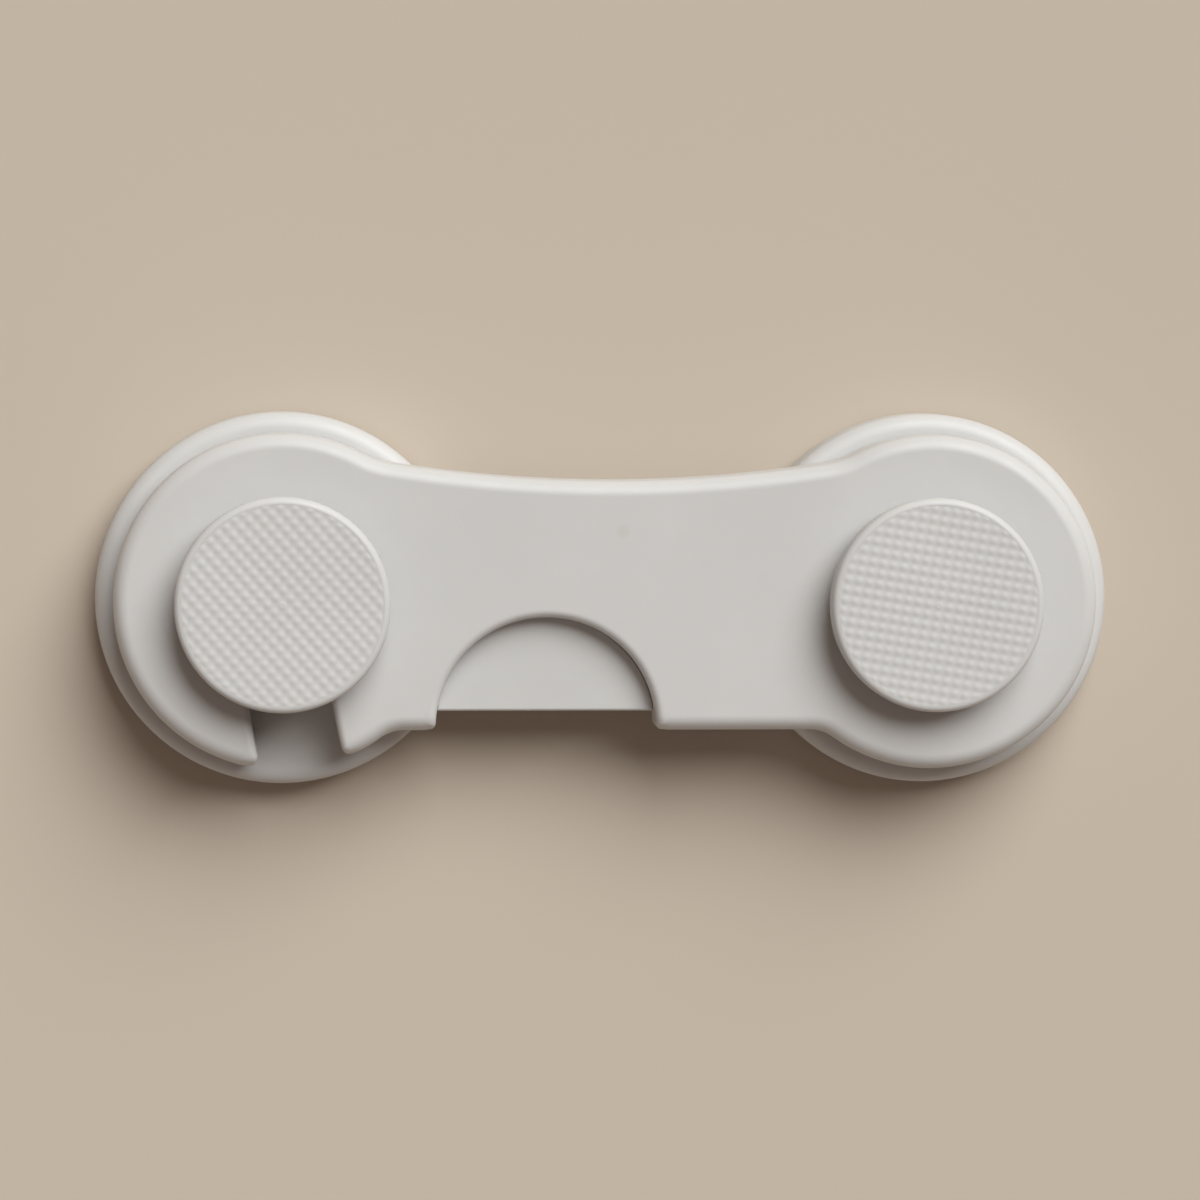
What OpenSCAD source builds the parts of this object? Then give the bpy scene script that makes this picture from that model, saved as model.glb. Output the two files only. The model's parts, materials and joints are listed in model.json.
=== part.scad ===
// Cabinet safety lock: two stick-on bases, a swinging bar and two push buttons.
// Sizes in mm. The adhesive faces lie on z = 0 and the front faces +z.
// The latch post stands at -x and the pivot post at +x. The bar swings up about the pivot post.

/* [Layout] */
// Distance between the two posts
post_spacing = 66; // [60:0.5:74]
// Thickness of the adhesive pads
pad_t = 0.8; // [0.5:0.1:1.5]
// How far the pads stay inside the rim of the bases
pad_inset = 1; // [0.5:0.1:3]

/* [Bases] */
// Diameter of each base
base_d = 38; // [36:0.5:44]
// Rounding of the front rim
base_edge_r = 1.4; // [0.6:0.1:2]
// Thickness of the rim wall
base_wall = 1.6; // [1.2:0.1:2.4]
// Thickness of the front skin, which guides the collar
base_skin = 1.4; // [1:0.1:2]
// Thickness of the rear plate
rear_plate_t = 1; // [0.8:0.1:1.6]
// Width of the ledge that the rear plate rests on
ledge_w = 1; // [0.6:0.1:2]
// Wall of the tube round the plunger flange
tube_wall = 1.2; // [0.8:0.1:2]
// Stiffening ribs in each base
rib_count = 6; // [3:1:10]
// Thickness of each rib
rib_t = 1; // [0.8:0.1:2]

/* [Buttons] */
// Diameter of the caps
button_d = 21.6; // [18:0.2:26]
// Thickness of the caps
button_t = 2.6; // [2.2:0.1:4]
// Rounding of the caps' front edge
button_edge_r = 0.6; // [0.3:0.1:1]
// Depth of the hollow under the caps
button_hollow = 1; // [0.4:0.1:1.2]
// Width of the caps' rim beside the hollow
button_rim = 1.6; // [1:0.1:3]
// How far a button goes in
press_travel = 1.2; // [0.8:0.1:2]
// Gap left between a pressed button and the bar
press_spare = 0.5; // [0.3:0.1:1.5]
// Plain ring left round the grip grid
grip_margin = 0.2; // [0.1:0.1:3]
// Distance between the grooves of the grip grid
grip_pitch = 1.06; // [0.9:0.02:2]
// Width of each groove
grip_groove_w = 0.76; // [0.3:0.02:0.84]
// Depth of each groove
grip_groove_h = 0.34; // [0.1:0.02:0.5]
// Turn of the grip grid on the latch button
latch_grip_turn = 42; // [-45:1:45]
// Turn of the grip grid on the pivot button
pivot_grip_turn = -10; // [-45:1:45]

/* [Plungers] */
// Diameter of the neck that passes through the front of the bar
neck_d = 8; // [7.6:0.1:9]
// Diameter of the collar that seats in the back of the bar
collar_d = 11.4; // [10.8:0.1:12.6]
// How far the flange stands out past the collar
flange_lip = 1.3; // [1:0.1:2]
// Thickness of the flange
flange_t = 0.85; // [0.7:0.05:1.5]
// Depth of the two flats that stop the flange from turning
flange_flat = 0.8; // [0.4:0.1:0.9]
// Thickness of the shelf between the spring and the cap's stem
shelf_t = 1.2; // [0.8:0.1:1.6]
// Length of the stem under each cap
stem_len = 3.2; // [2.6:0.1:4]
// Diameter of the stem under each cap
stem_d = 5.4; // [4.6:0.1:5.6]

/* [Springs] */
// Outside diameter of the springs
spring_d = 5.4; // [5:0.1:5.6]
// Thickness of the wire
wire_d = 0.5; // [0.3:0.05:0.55]
// Number of turns
spring_turns = 5; // [3:0.5:5]

/* [Bar] */
// Diameter of the round ends
lobe_d = 34; // [33:0.1:35.4]
// Thickness of the bar
bar_t = 5.8; // [4.4:0.1:6]
// Rounding of the front rim
bar_edge_r = 1.5; // [0.8:0.1:1.8]
// Thickness of the rim wall
bar_wall = 1.7; // [1.2:0.1:2]
// Thickness of the front skin
bar_skin = 1.6; // [1.2:0.1:2]
// Thickness of the back plate
back_plate_t = 1.2; // [1:0.1:1.6]
// How far the top edge dips below the round ends, at the middle of the bar
waist_dip = 4.7; // [3.8:0.1:5.2]
// How much the hollow top edge rises from the middle of the bar to the posts
waist_rise = 3.95; // [1.5:0.05:4.7]
// How far the straight bottom edge lies inside the round ends
waist_lift = 4; // [3.4:0.1:5]
// Blend between the round ends and the top edge
top_blend_r = 10; // [3:0.5:14]
// Blend between the round ends and the bottom edge
bottom_blend_r = 4; // [1.5:0.5:6]

/* [Slot and notch] */
// Rounding of the tips beside the slot's mouth
tip_r = 1; // [0.8:0.1:1.4]
// Rounding of the slot's front edges
slot_edge_r = 0.7; // [0.3:0.1:0.8]
// Radius of the half-moon finger notch
notch_r = 11.2; // [9:0.1:11.6]
// Straight stretch between the latch end and the notch
notch_land = 2.48; // [2:0.02:5]
// Height of the notch's centre above the bottom edge
notch_rise = 0.3; // [0:0.1:0.6]
// Rounding of the notch's two corners
notch_corner_r = 0.7; // [0.5:0.1:1.2]
// Rounding of the notch's front edge
notch_edge_r = 0.35; // [0.2:0.05:0.5]
// Depth of the notch's floor below the front face
notch_depth = 2.3; // [1.6:0.1:3]
// Diameter of the moulding mark on the front face
gate_d = 1.2; // [0.6:0.1:2]
// Depth of the moulding mark
gate_h = 0.06; // [0.04:0.02:0.2]
// Place of the moulding mark along the bar
gate_x = 1.1; // [-4:0.1:4]
// Place of the moulding mark above the posts' line
gate_y = 7.3; // [5:0.1:9]

/* [Screws] */
// Shank diameter of the cap screws
cap_screw_d = 2; // [1.6:0.1:2.2]
// Head diameter of the cap screws
cap_screw_head_d = 3.6; // [3:0.1:3.8]
// Head thickness of the cap screws
cap_screw_head_t = 1.2; // [0.8:0.1:1.6]
// Thread length of the cap screws in the caps
cap_screw_bite = 3.4; // [2.4:0.1:3.8]
// Shank diameter of the bar screws
bar_screw_d = 1.6; // [1.4:0.1:1.8]
// Head diameter of the bar screws
bar_screw_head_d = 3.2; // [2.8:0.1:3.6]
// Thread length of the bar screws in the cover
bar_screw_bite = 2; // [1.6:0.1:2.4]
// Wall of the bosses that the bar screws bite into
screw_boss_wall = 1.1; // [0.8:0.1:1.6]
// Distance of the upper bar screws below the waist line
screw_drop = 5.4; // [4.6:0.1:6]
// Distance of the outer bar screws from the posts
screw_from_post = 15; // [14.5:0.1:16]
// Distance of the lower bar screw from the pivot post
low_screw_from_post = 18.5; // [17.5:0.1:19.5]
// Distance of the lower bar screw above the bottom edge
low_screw_rise = 4.8; // [4.4:0.1:5.6]
// How far the cross stays inside the rim of the screw heads
cross_rim = 0.5; // [0.4:0.1:0.8]
// Width of the cross in the screw heads
cross_w = 0.5; // [0.3:0.1:0.7]
// Depth of the cross in the screw heads
cross_h = 0.5; // [0.3:0.1:0.6]

/* [Clearances] */
// Radial play of the sliding and turning fits
run_play = 0.05; // [0.02:0.01:0.1]
// Play round pieces that drop into a seat
seat_play = 0.15; // [0.1:0.05:0.3]
// Play at the ends of the plungers' travel
stop_play = 0.05; // [0.02:0.01:0.1]
// Play between the neck and the sides of the slot
slot_play = 0.2; // [0.15:0.05:0.4]
// Play between the collar and the sides of the back plate's slot
collar_play = 0.15; // [0.1:0.05:0.3]
// How much wider the collar's seat is than the slot below it, each side
seat_step = 0.2; // [0.1:0.05:0.3]
// Play round the springs
spring_play = 0.25; // [0.15:0.05:0.3]
// Gap between the bases and the bar
swing_gap = 0.3; // [0.2:0.05:0.6]
// How far a pressed collar stays below the back of the bar
collar_drop = 0.2; // [0.1:0.05:0.3]
// Play between a screw's shank and its pilot hole
pilot_play = 0.04; // [0.02:0.01:0.08]

/* [Hidden] */
$fn = 64;
cut = 0.5;
edge_steps = 5;
overrun = 0.3;
groove_lift = 0.1;
fade_sweep = 30;
wire_sides = 6;
wire_rings = 8;

latch = [-post_spacing / 2, 0];
pivot = [post_spacing / 2, 0];

base_r = base_d / 2;
pad_r = base_r - pad_inset;
button_r = button_d / 2;
neck_r = neck_d / 2;
collar_r = collar_d / 2;
flange_r = collar_r + flange_lip;
stem_r = stem_d / 2;
lobe_r = lobe_d / 2;
wire_r = wire_d / 2;

base_z = pad_t;
chamber_z = base_z + rear_plate_t;
flange_z = chamber_z + stop_play + press_travel;
chamber_top = flange_z + flange_t + stop_play;
base_top = chamber_top + base_skin;
bar_z = base_top + swing_gap;
bar_top = bar_z + bar_t;
collar_top = bar_z + press_travel - collar_drop;
plate_top = bar_z + back_plate_t;
wall_foot = max(plate_top, collar_top + slot_play);
button_z = bar_top + press_travel + press_spare;
button_top = button_z + button_t;
stem_z = button_z - stem_len;
shelf_z = stem_z - shelf_t;

plate_seat_r = base_r - base_wall;
rear_plate_r = plate_seat_r - seat_play;
hollow_r = plate_seat_r - ledge_w;
chamber_r = flange_r + seat_play;
tube_r = chamber_r + tube_wall;
spring_bore_r = spring_d / 2 + spring_play;
spigot_r = spring_d / 2 - wire_d - spring_play;

slot_r = neck_r + slot_play;
wide_r = collar_r + collar_play;
slot_sweep = 2 * asin((lobe_r + bar_wall) / post_spacing / 2);

waist_r = (pow(post_spacing / 2, 2) + pow(waist_rise, 2)) / (2 * waist_rise);
waist_top = lobe_r - waist_dip;
waist_bottom = lobe_r - waist_lift;
waist_c = [0, waist_top + waist_r];
blend_y = -waist_bottom - bottom_blend_r;
blend_reach = sqrt(pow(lobe_r + bottom_blend_r, 2) - blend_y * blend_y);
low_blend_l = [latch.x + blend_reach, blend_y];
corner_rise = notch_corner_r - notch_rise;
corner_reach = sqrt(pow(notch_r + notch_corner_r, 2) - corner_rise * corner_rise);
corner_a = atan2(corner_rise, corner_reach);
left_corner = [low_blend_l.x + notch_land, notch_corner_r - waist_bottom];
notch = left_corner + [corner_reach, -corner_rise];
right_corner = notch + [corner_reach, corner_rise];
plate_inset = bar_wall + seat_play;
upper_screw_y = waist_top - screw_drop;
outer_screw_x = post_spacing / 2 - screw_from_post;
low_screw_x = post_spacing / 2 - low_screw_from_post;
screw_places = [
    [-outer_screw_x, upper_screw_y],
    [notch.x, upper_screw_y],
    [outer_screw_x, upper_screw_y],
    [low_screw_x, low_screw_rise - waist_bottom],
];

white = [0.86, 0.85, 0.82];
inner_white = [0.8, 0.79, 0.77];
foam = [0.93, 0.92, 0.88];
steel = [0.62, 0.63, 0.65];

// Direction from one point to another, in degrees from 0 to 360
function heading(from, to) =
    let (a = atan2(to.y - from.y, to.x - from.x)) a < 0 ? a + 360 : a;

// Point at distance r1 from c1 and r2 from c2. A side of 1 lies left of the line from c1 to c2.
function meeting(c1, r1, c2, r2, side) =
    let (d = norm(c2 - c1))
    let (a = (r1 * r1 - r2 * r2 + d * d) / (2 * d))
    let (h = sqrt(r1 * r1 - a * a))
    let (u = (c2 - c1) / d)
    c1 + a * u + side * h * [-u.y, u.x];

function flip(p) = [-p.x, p.y];

// Samples along an arc. Each is a point, the way into the material and the edge rounding there.
// side is 1 where the arc's centre lies in the material and -1 where it lies outside.
function arc(c, r, from, to, steps, side, edge, edge_end) = [
    for (i = [0:steps])
        let (t = i / steps)
        let (a = from + (to - from) * t)
        let (u = [cos(a), sin(a)])
        [c + r * u, -side * u, edge + (edge_end - edge) * t]
];

// An arc moved into the material by d
function inset_arc(c, r, from, to, steps, side, d) =
    [for (s = arc(c, r - side * d, from, to, steps, side, 0, 0)) s[0]];

// Centres of the upper blends and of the slot's tips
top_blend_l = meeting(latch, lobe_r + top_blend_r, waist_c, waist_r - top_blend_r, -1);
top_blend = flip(top_blend_l);
low_blend = flip(low_blend_l);
left_tip = meeting(latch, lobe_r - tip_r, pivot, post_spacing + slot_r + tip_r, -1);
right_tip = meeting(latch, lobe_r - tip_r, pivot, post_spacing - slot_r - tip_r, -1);

// Where the edge rounding right of the notch has grown to its full size
fade_x = right_corner.x + 3 * bar_edge_r;

// Angle on the latch end where its edge rounding starts to fade towards the slot
fade_a = heading(latch, left_tip) - fade_sweep;

// The whole front outline, anticlockwise, with the slot and the notch
outline = concat(
    arc(pivot, lobe_r, heading(pivot, low_blend) - 360, heading(pivot, top_blend), 44, 1,
        bar_edge_r, bar_edge_r),
    arc(top_blend, top_blend_r, heading(top_blend, pivot), heading(waist_c, top_blend), 6, -1,
        bar_edge_r, bar_edge_r),
    arc(waist_c, waist_r, heading(waist_c, top_blend), heading(waist_c, top_blend_l), 12, -1,
        bar_edge_r, bar_edge_r),
    arc(top_blend_l, top_blend_r, heading(waist_c, top_blend_l), heading(top_blend_l, latch), 6, -1,
        bar_edge_r, bar_edge_r),
    arc(latch, lobe_r, heading(latch, top_blend_l), fade_a, 28, 1, bar_edge_r, bar_edge_r),
    arc(latch, lobe_r, fade_a, heading(latch, left_tip), 6, 1, bar_edge_r, slot_edge_r),
    arc(left_tip, tip_r, heading(latch, left_tip), heading(left_tip, pivot) + 360, 6, 1,
        slot_edge_r, slot_edge_r),
    arc(pivot, post_spacing + slot_r, heading(pivot, left_tip), 180, 5, -1, slot_edge_r, slot_edge_r),
    arc(latch, slot_r, 180, 0, 16, -1, slot_edge_r, slot_edge_r),
    arc(pivot, post_spacing - slot_r, 180, heading(pivot, right_tip), 5, 1, slot_edge_r, slot_edge_r),
    arc(right_tip, tip_r, heading(pivot, right_tip), heading(latch, right_tip), 6, 1,
        slot_edge_r, slot_edge_r),
    arc(latch, lobe_r, heading(latch, right_tip), heading(latch, low_blend_l), 5, 1,
        slot_edge_r, bar_edge_r),
    arc(low_blend_l, bottom_blend_r, heading(low_blend_l, latch), 90, 5, -1, bar_edge_r, bar_edge_r),
    arc(left_corner, notch_corner_r, 270, 360 - corner_a, 5, 1, notch_edge_r, notch_edge_r),
    arc(notch, notch_r, 180 - corner_a, corner_a, 22, -1, notch_edge_r, notch_edge_r),
    arc(right_corner, notch_corner_r, 180 + corner_a, 270, 5, 1, notch_edge_r, notch_edge_r),
    [[[fade_x, -waist_bottom], [0, 1], bar_edge_r]],
    arc(low_blend, bottom_blend_r, 90, heading(low_blend, pivot), 5, -1, bar_edge_r, bar_edge_r)
);

// The outline with neighbouring doubles left out
front = [
    for (i = [0:len(outline) - 1])
        if (norm(outline[i][0] - outline[(i + 1) % len(outline)][0]) > 0.001) outline[i]
];

// The bar's outer outline alone, moved inwards by d
function outer_outline(d) = concat(
    inset_arc(pivot, lobe_r, heading(pivot, low_blend) - 360, heading(pivot, top_blend), 44, 1, d),
    inset_arc(top_blend, top_blend_r, heading(top_blend, pivot), heading(waist_c, top_blend), 6, -1, d),
    inset_arc(waist_c, waist_r, heading(waist_c, top_blend), heading(waist_c, top_blend_l), 12, -1, d),
    inset_arc(top_blend_l, top_blend_r, heading(waist_c, top_blend_l), heading(top_blend_l, latch), 6,
        -1, d),
    inset_arc(latch, lobe_r, heading(latch, top_blend_l), heading(latch, low_blend_l), 44, 1, d),
    inset_arc(low_blend_l, bottom_blend_r, heading(low_blend_l, latch), 90, 5, -1, d),
    inset_arc(low_blend, bottom_blend_r, 90, heading(low_blend, pivot), 5, -1, d)
);

// Section of the cutter that rounds the front edge: depth into the material, height above the face.
// The quarter round runs on a little past the wall and past the face.
function round_section(r) =
    let (q = [for (i = [0:edge_steps]) r * [1 - cos(90 * i / edge_steps), sin(90 * i / edge_steps) - 1]])
    concat(
        [[-r, r], q[0] + overrun * (q[0] - q[1])],
        q,
        [q[edge_steps] + overrun * (q[edge_steps] - q[edge_steps - 1])]
    );

// Triangles between rings of n points, joined by the given number of links.
// A closed tube has as many links as rings, an open one has one less.
function tube_sides(n, rings, links) = [
    for (j = [0:links - 1])
        for (i = [0:n - 1])
            let (k = (i + 1) % n, l = (j + 1) % rings)
            each [
                [j * n + i, l * n + i, l * n + k],
                [j * n + i, l * n + k, j * n + k],
            ]
];

module at_latch() {
    translate([latch.x, latch.y, 0]) children();
}

module at_pivot() {
    translate([pivot.x, pivot.y, 0]) children();
}

module at_screws() {
    for (p = screw_places)
        translate([p.x, p.y, 0]) children();
}

module disc(r, from, to) {
    translate([0, 0, from]) cylinder(r = r, h = to - from);
}

// A round bar with two flats
module flatted(r, flat, from, to) {
    intersection() {
        disc(r, from, to);
        translate([-r, flat - r, from]) cube([2 * r, 2 * (r - flat), to - from]);
    }
}

// A disc with a rounded front edge
module rounded_disc(r, edge, from, to) {
    rotate_extrude() {
        translate([0, from]) square([r, to - from - edge]);
        translate([0, from]) square([r - edge, to - from]);
        translate([r - edge, to - edge])
            intersection() {
                circle(r = edge);
                square(edge);
            }
    }
}

// Arc-shaped slot about the pivot, from the latch post out through the bar's lower edge
module swing_slot(half, seat, from, to) {
    at_latch() disc(seat, from, to);
    at_pivot()
        rotate([0, 0, 180])
            rotate_extrude(angle = slot_sweep)
                translate([post_spacing - half, from]) square([2 * half, to - from]);
}

// Two crossed bars for a screw head's recess, cut upwards from z
module cross_cut(span, z) {
    for (a = [0, 90])
        rotate([0, 0, a])
            translate([-span / 2, -cross_w / 2, z - cut]) cube([span, cross_w, cross_h + cut]);
}

module pad() {
    color(foam) disc(pad_r, 0, pad_t);
}

module base() {
    color(white)
        difference() {
            rounded_disc(base_r, base_edge_r, base_z, base_top);
            disc(plate_seat_r, base_z - cut, chamber_z);
            base_hollow();
            flatted(chamber_r, flange_flat, chamber_z - cut, chamber_top);
            disc(collar_r + run_play, chamber_z, base_top + cut);
        }
}

// Ring-shaped hollow inside the base, crossed by the ribs
module base_hollow() {
    difference() {
        disc(hollow_r, chamber_z - cut, chamber_top);
        disc(tube_r, chamber_z - 2 * cut, chamber_top + cut);
        for (i = [0:rib_count - 1])
            rotate([0, 0, 360 * i / rib_count])
                translate([0, -rib_t / 2, chamber_z - 2 * cut])
                    cube([base_r, rib_t, chamber_top - chamber_z + 3 * cut]);
    }
}

// Disc that closes the base, with a spigot that keeps the spring in place
module rear_plate() {
    color(inner_white) {
        disc(rear_plate_r, base_z, chamber_z);
        disc(spigot_r, chamber_z - cut, flange_z);
    }
}

module plunger() {
    color(white)
        difference() {
            union() {
                flatted(flange_r, flange_flat, flange_z, flange_z + flange_t);
                disc(collar_r, flange_z, collar_top);
                disc(neck_r, flange_z, button_z);
            }
            disc(spring_bore_r, flange_z - cut, shelf_z);
            disc(cap_screw_d / 2 + seat_play, shelf_z - cut, stem_z + cut);
            disc(stem_r + run_play, stem_z, button_z + cut);
        }
}

// Centre line of a spring, from one seat to the other
spring_rise = shelf_z - chamber_z - wire_d - 2 * stop_play;
spring_points = [
    for (i = [0:spring_turns * wire_rings])
        let (a = 360 * i / wire_rings)
        let (r = spring_d / 2 - wire_r)
        let (t = i / (spring_turns * wire_rings))
        [r * cos(a), r * sin(a), chamber_z + stop_play + wire_r + spring_rise * t]
];

// Least gap between two turns of a spring, measured on its centre line
spring_gap = min([
    for (i = [0:len(spring_points) - 1])
        for (j = [i + wire_rings / 2:1:len(spring_points) - 1])
            norm(spring_points[i] - spring_points[j]) - wire_d
]);
echo(spring_gap = spring_gap);

module spring() {
    n = len(spring_points);
    rings = [
        for (i = [0:n - 1])
            let (a = 360 * i / wire_rings)
            for (k = [0:wire_sides - 1])
                let (b = 360 * k / wire_sides)
                spring_points[i] + wire_r * [cos(b) * cos(a), cos(b) * sin(a), sin(b)]
    ];
    start = [for (k = [0:wire_sides - 1]) wire_sides - 1 - k];
    end = [for (k = [0:wire_sides - 1]) (n - 1) * wire_sides + k];
    sides = [for (f = tube_sides(wire_sides, n, n - 1)) [f[2], f[1], f[0]]];
    color(steel) polyhedron(rings, concat([start, end], sides));
}

// Pan-head screw that draws the cap's stem onto the plunger's shelf
module cap_screw() {
    color(steel)
        difference() {
            union() {
                disc(cap_screw_head_d / 2, shelf_z - cap_screw_head_t, shelf_z);
                disc(cap_screw_d / 2, shelf_z - cut, stem_z + cap_screw_bite);
            }
            cross_cut(cap_screw_head_d - 2 * cross_rim, shelf_z - cap_screw_head_t);
        }
}

module button(turn) {
    color(white)
        difference() {
            union() {
                rounded_disc(button_r, button_edge_r, button_z, button_top);
                disc(stem_r, stem_z, button_z + cut);
            }
            difference() {
                disc(button_r - button_rim, button_z - cut, button_z + button_hollow);
                disc(neck_r + seat_play, button_z - 2 * cut, button_z + button_hollow + cut);
            }
            disc(cap_screw_d / 2 + pilot_play, stem_z - cut, stem_z + cap_screw_bite + stop_play);
            grip_grooves(turn);
        }
}

// Crossed V grooves of the grip grid
module grip_grooves(turn) {
    field = button_r - button_edge_r - grip_margin;
    count = floor(field / grip_pitch);
    slope = grip_groove_w / grip_groove_h / 2;
    intersection() {
        disc(field, button_top - grip_groove_h - cut, button_top + cut);
        union()
            for (a = [0, 90])
                for (i = [-count:count])
                    rotate([90, 0, turn + a])
                        translate([i * grip_pitch, button_top, 0])
                            linear_extrude(height = button_d, center = true)
                                polygon([
                                    [0, -grip_groove_h],
                                    [slope * (grip_groove_h + groove_lift), groove_lift],
                                    [-slope * (grip_groove_h + groove_lift), groove_lift],
                                ]);
    }
}

// Front shell of the bar, before it is hollowed
module cover_blank() {
    difference() {
        translate([0, 0, bar_z]) linear_extrude(height = bar_t) polygon([for (s = front) s[0]]);
        edge_cutter();
    }
}

// What the rounded rim leaves away, all along the front outline
module edge_cutter() {
    rings = [
        for (s = front)
            for (q = round_section(s[2]))
                let (p = s[0] + s[1] * q.x)
                [p.x, p.y, bar_top + q.y]
    ];
    polyhedron(rings, tube_sides(edge_steps + 4, len(front), len(front)));
}

// Hollow inside the cover, round the walls of the slot, the notch, the pivot and the screws
module cover_hollow() {
    difference() {
        translate([0, 0, wall_foot - cut])
            linear_extrude(height = bar_top - bar_skin - wall_foot + cut)
                polygon(outer_outline(bar_wall));
        swing_slot(slot_r + bar_wall, slot_r + bar_wall, wall_foot - 2 * cut, bar_top);
        translate([notch.x, notch.y, 0])
            disc(notch_r + bar_wall, wall_foot - 2 * cut, bar_top);
        at_pivot() disc(neck_r + run_play + bar_wall, wall_foot - 2 * cut, bar_top);
        at_screws() disc(bar_screw_d / 2 + screw_boss_wall, wall_foot - 2 * cut, bar_top);
    }
}

module bar_cover() {
    color(white)
        difference() {
            cover_blank();
            translate([0, 0, bar_z - cut])
                linear_extrude(height = wall_foot - bar_z + cut) polygon(outer_outline(bar_wall));
            cover_hollow();
            swing_slot(wide_r, wide_r + seat_step, bar_z - cut, wall_foot);
            at_pivot() disc(neck_r + run_play, bar_z, bar_top + cut);
            at_screws() disc(bar_screw_d / 2 + pilot_play, bar_z, plate_top + bar_screw_bite);
            translate([gate_x, gate_y, 0]) disc(gate_d / 2, bar_top - gate_h, bar_top + cut);
        }
}

// Plate in the back of the bar, raised to a floor inside the finger notch
module bar_back_plate() {
    color(inner_white)
        difference() {
            intersection() {
                union() {
                    translate([-post_spacing, -lobe_d, bar_z])
                        cube([2 * post_spacing, 2 * lobe_d, back_plate_t]);
                    translate([notch.x, notch.y, 0])
                        disc(notch_r - seat_play, bar_z, bar_top - notch_depth);
                }
                translate([0, 0, bar_z]) linear_extrude(height = bar_t) polygon(outer_outline(plate_inset));
            }
            swing_slot(wide_r, wide_r + seat_step, bar_z - cut, bar_top);
            at_pivot() disc(collar_r + run_play, bar_z - cut, plate_top + cut);
            at_screws() screw_shape(seat_play);
        }
}

// Countersunk screw, flush with the back of the bar, grown by the play round it
module screw_shape(play) {
    head_r = bar_screw_head_d / 2 + play;
    shank_r = bar_screw_d / 2 + play;
    translate([0, 0, bar_z]) cylinder(r1 = head_r, r2 = shank_r, h = head_r - shank_r);
    disc(shank_r, bar_z, plate_top + bar_screw_bite - stop_play);
}

module bar_screws() {
    color(steel)
        at_screws()
            difference() {
                screw_shape(0);
                cross_cut(bar_screw_head_d - 2 * cross_rim, bar_z);
            }
}

module latch_pad() {
    at_latch() pad();
}

module latch_base() {
    at_latch() base();
}

module latch_rear_plate() {
    at_latch() rear_plate();
}

module latch_spring() {
    at_latch() spring();
}

module latch_plunger() {
    at_latch() plunger();
}

module latch_screw() {
    at_latch() cap_screw();
}

module latch_button() {
    at_latch() button(latch_grip_turn);
}

module pivot_pad() {
    at_pivot() pad();
}

module pivot_base() {
    at_pivot() base();
}

module pivot_rear_plate() {
    at_pivot() rear_plate();
}

module pivot_spring() {
    at_pivot() spring();
}

module pivot_plunger() {
    at_pivot() plunger();
}

module pivot_screw() {
    at_pivot() cap_screw();
}

module pivot_button() {
    at_pivot() button(pivot_grip_turn);
}

latch_pad();
latch_base();
latch_rear_plate();
latch_spring();
latch_plunger();
latch_screw();
latch_button();
pivot_pad();
pivot_base();
pivot_rear_plate();
pivot_spring();
pivot_plunger();
pivot_screw();
pivot_button();
bar_cover();
bar_back_plate();
bar_screws();
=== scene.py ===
import json
import math

import bpy
import numpy as np
from mathutils import Matrix, Vector

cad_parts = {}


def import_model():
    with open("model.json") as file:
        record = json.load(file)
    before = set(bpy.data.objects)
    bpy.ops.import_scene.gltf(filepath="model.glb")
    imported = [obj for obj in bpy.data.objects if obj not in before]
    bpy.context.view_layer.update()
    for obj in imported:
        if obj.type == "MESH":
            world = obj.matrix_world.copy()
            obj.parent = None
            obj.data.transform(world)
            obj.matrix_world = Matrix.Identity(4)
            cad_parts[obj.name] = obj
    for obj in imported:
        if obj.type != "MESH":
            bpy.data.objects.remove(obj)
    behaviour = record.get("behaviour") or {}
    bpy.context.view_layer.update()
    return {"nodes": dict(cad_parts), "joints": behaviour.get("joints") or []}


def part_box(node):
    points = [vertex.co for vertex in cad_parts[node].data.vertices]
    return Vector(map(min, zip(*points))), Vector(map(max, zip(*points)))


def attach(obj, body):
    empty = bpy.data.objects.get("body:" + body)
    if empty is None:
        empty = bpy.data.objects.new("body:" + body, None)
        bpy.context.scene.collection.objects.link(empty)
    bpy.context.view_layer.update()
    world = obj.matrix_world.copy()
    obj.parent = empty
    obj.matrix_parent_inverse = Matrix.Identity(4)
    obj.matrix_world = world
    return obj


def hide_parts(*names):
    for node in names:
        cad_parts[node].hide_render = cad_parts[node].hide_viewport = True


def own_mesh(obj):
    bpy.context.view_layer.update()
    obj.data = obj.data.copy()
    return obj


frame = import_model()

# Cabinet safety lock: two stick-on bases, a swinging bar and two push buttons.
# Metres, in the CAD frame: +X from the latch post to the pivot post, +Y the way the bar lifts,
# +Z from the adhesive pads to the buttons.

MM = 0.001


def middle(node):
    """Centre of a CAD node, seen from the front."""
    low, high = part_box(node)
    return np.array(((low.x + high.x) / 2, (low.y + high.y) / 2))


def reach(node):
    """Half the width of a CAD node."""
    low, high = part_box(node)
    return (high.x - low.x) / 2


def heights(node):
    """Lowest and highest level of a CAD node."""
    low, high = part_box(node)
    return low.z, high.z


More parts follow.
